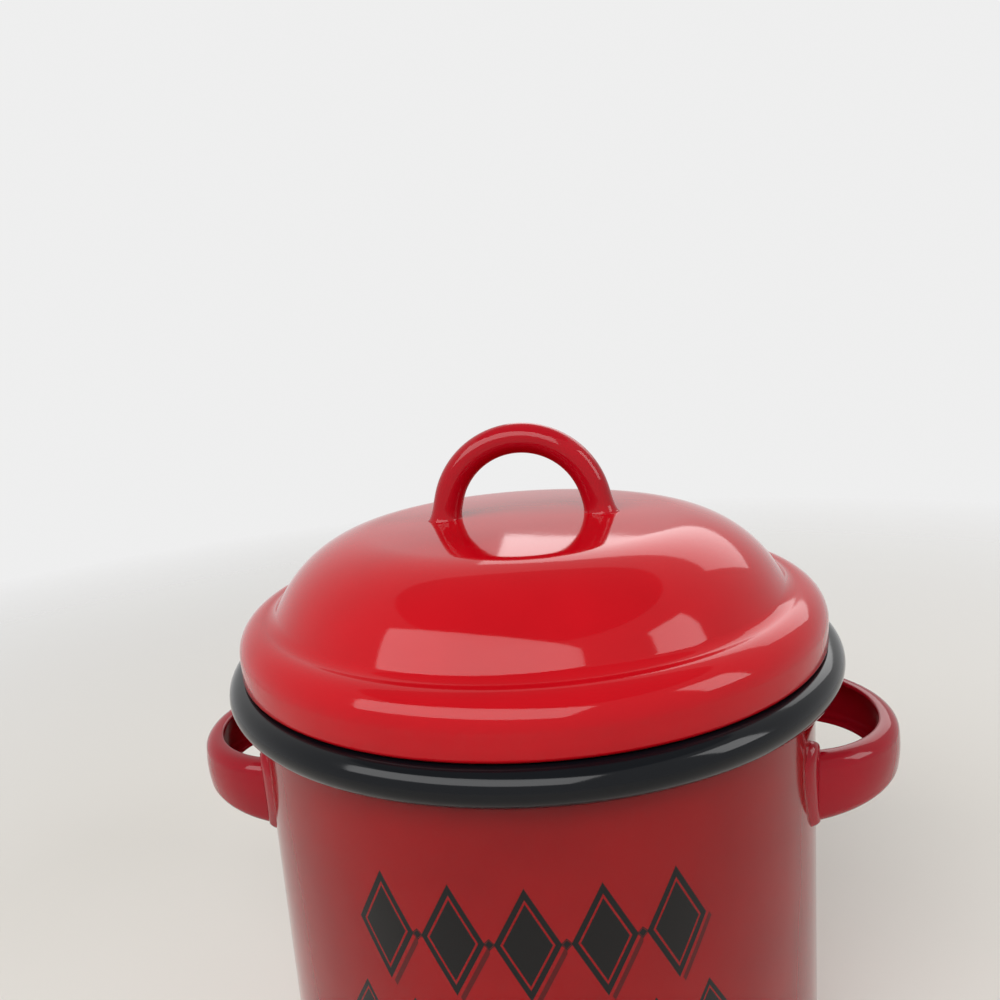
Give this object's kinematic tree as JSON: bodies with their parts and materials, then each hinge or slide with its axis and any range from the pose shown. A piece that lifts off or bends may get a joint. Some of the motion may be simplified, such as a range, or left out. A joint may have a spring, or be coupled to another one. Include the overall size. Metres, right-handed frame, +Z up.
{
  "type": "bacon grease container",
  "caption": "Round enamelled steel grease pot with rolled rim, loop side handles, domed lift-off lid with arched handle, and a lift-out mesh strainer with folding bail.",
  "frame": {"origin": "middle of the ring that the pot stands on", "axes": "+Z up along the pot's axis, side handles on +X and -X, front of the pot towards -Y"},
  "size_m": [0.1608, 0.1344, 0.163],
  "materials": {
    "pot_enamel": "glossy vitreous enamel",
    "lid_enamel": "glossy vitreous enamel",
    "handle_enamel": "glossy vitreous enamel",
    "rim_enamel": "glossy black enamel",
    "stainless": "brushed",
    "mesh_steel": "bright woven wire"
  },
  "bodies": {
    "pot": {"pot_body": "pot_enamel", "pot_rim": "rim_enamel", "side_handle_left": "handle_enamel", "side_handle_right": "handle_enamel"},
    "strainer": {"strainer_collar": "stainless", "strainer_mesh": "mesh_steel", "mesh_ring": "stainless", "bail_eye_left": "stainless", "bail_eye_right": "stainless"},
    "bail": {"strainer_bail": "stainless"},
    "lid": {"lid_shell": "lid_enamel", "lid_handle": "handle_enamel", "lid_skirt": "stainless"}
  },
  "joints": [
    {"name": "strainer_lift", "type": "slide", "parent": "pot", "child": "strainer", "axis": [0, 0, 1], "range_m": [0, 0.04]},
    {"name": "bail_swing", "type": "hinge", "parent": "strainer", "child": "bail", "pos_m": [0, 0, 0.105], "axis": [-1, 0, 0], "range_deg": [0, 180]},
    {"name": "lid_lift", "type": "slide", "parent": "strainer", "child": "lid", "axis": [0, 0, 1], "range_m": [0, 0.04]}
  ]
}
